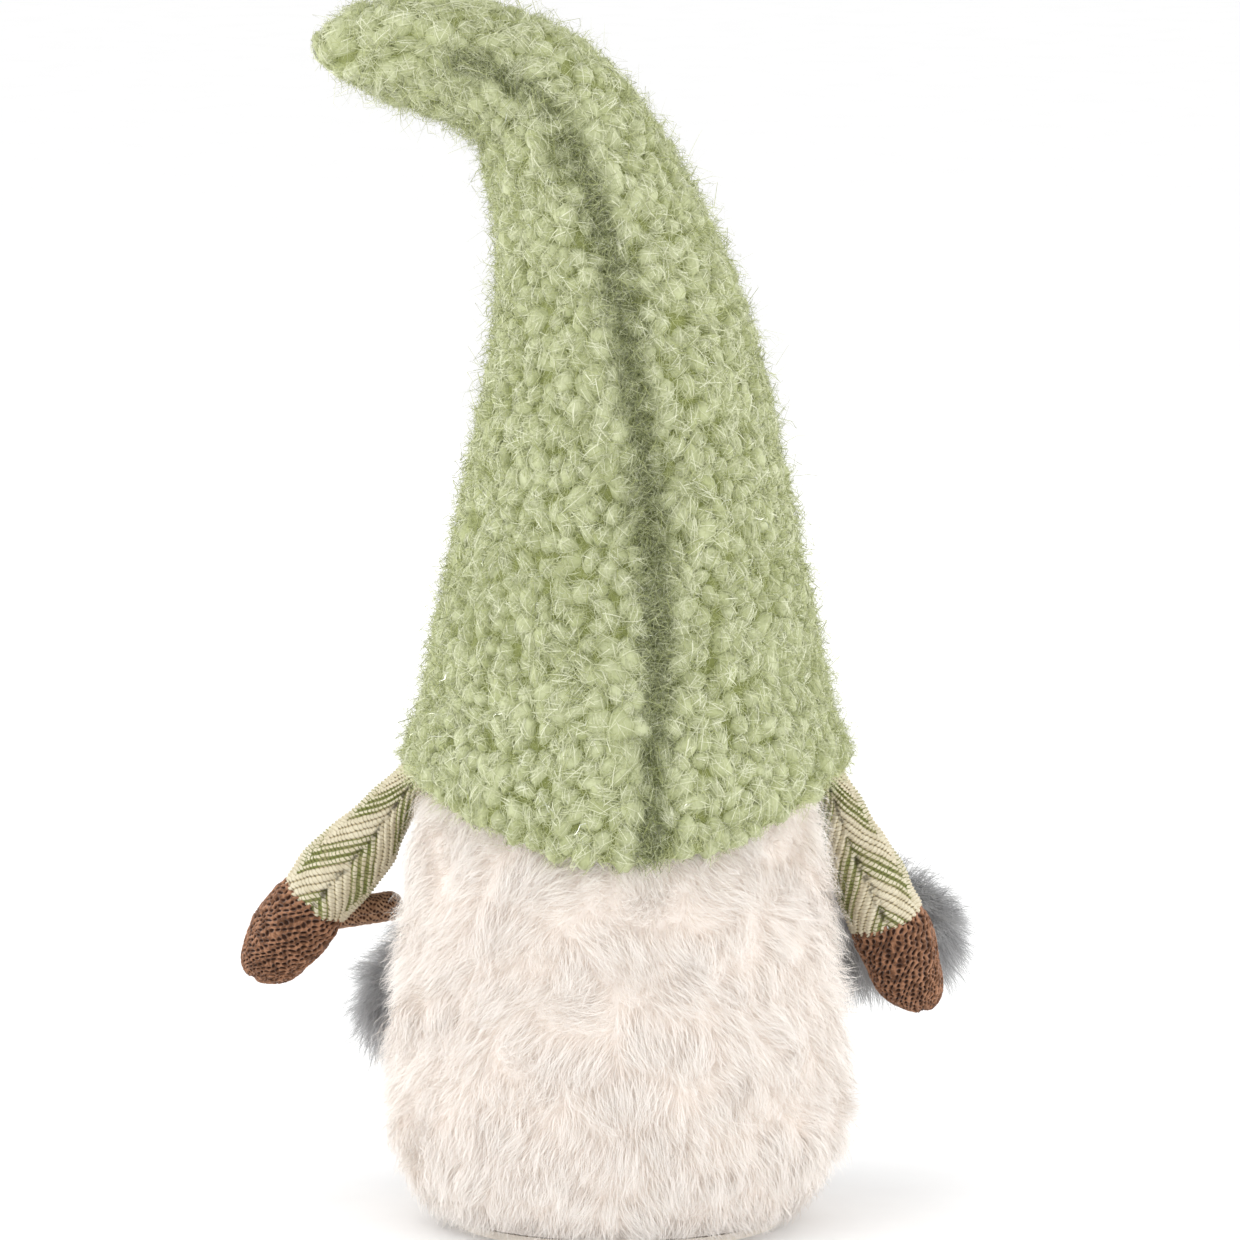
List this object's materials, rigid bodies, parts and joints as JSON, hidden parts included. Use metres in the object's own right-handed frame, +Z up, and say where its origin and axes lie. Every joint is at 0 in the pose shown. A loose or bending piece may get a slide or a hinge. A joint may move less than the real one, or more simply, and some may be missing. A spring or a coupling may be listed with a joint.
{
  "type": "stuffed gnome figure",
  "caption": "Stuffed fabric gnome that stands on a flat weighted base, with a tall pointed hat whose tip bends over and two swinging arms.",
  "frame": {"origin": "centre of the flat bottom", "axes": "+Z up, -Y to the front of the gnome (nose and beard), +X to the gnome's left"},
  "size_m": [0.1977, 0.1495, 0.346],
  "materials": {
    "cream_fur": "long soft pile, matt",
    "green_pile": "looped pile with glints, matt",
    "herringbone": "woven herringbone, matt",
    "brown_knit": "knitted wool, matt",
    "grey_fur": "fluffy pile, matt",
    "nose_cloth": "smooth stretched cloth, matt",
    "base_cloth": "plain woven cloth, matt",
    "fill": "polyester fibre fill",
    "board": "plain cardboard, matt",
    "pellets": "cloth bag of plastic pellets",
    "wire": "drawn steel wire"
  },
  "bodies": {
    "body": {"base_panel": "base_cloth", "base_board": "board", "weight_bag": "pellets", "body_skin": "cream_fur", "body_stuffing": "fill", "hat_lower": "green_pile", "hat_stuffing_lower": "fill", "hat_wire_lower": "wire", "nose_cover": "nose_cloth", "nose_stuffing": "fill", "beard_panel": "grey_fur", "left_whisker": "grey_fur", "right_whisker": "grey_fur"},
    "left_arm": {"left_sleeve": "herringbone", "left_mitten": "brown_knit", "left_thumb": "brown_knit", "left_arm_stuffing": "fill"},
    "right_arm": {"right_sleeve": "herringbone", "right_mitten": "brown_knit", "right_thumb": "brown_knit", "right_arm_stuffing": "fill"},
    "hat_tip": {"hat_tip": "green_pile", "hat_stuffing_tip": "fill", "hat_wire_tip": "wire"}
  },
  "joints": [
    {"name": "left_arm_lift", "type": "hinge", "parent": "body", "child": "left_arm", "pos_m": [0.061, -0.014, 0.119], "axis": [0, -1, 0], "range_deg": [-3, 45]},
    {"name": "right_arm_lift", "type": "hinge", "parent": "body", "child": "right_arm", "pos_m": [-0.061, -0.014, 0.119], "axis": [0, 1, 0], "range_deg": [0, 65]},
    {"name": "hat_tip_bend", "type": "hinge", "parent": "body", "child": "hat_tip", "pos_m": [0.018, 0, 0.312], "axis": [0, 1, 0], "range_deg": [-45, 35]}
  ]
}
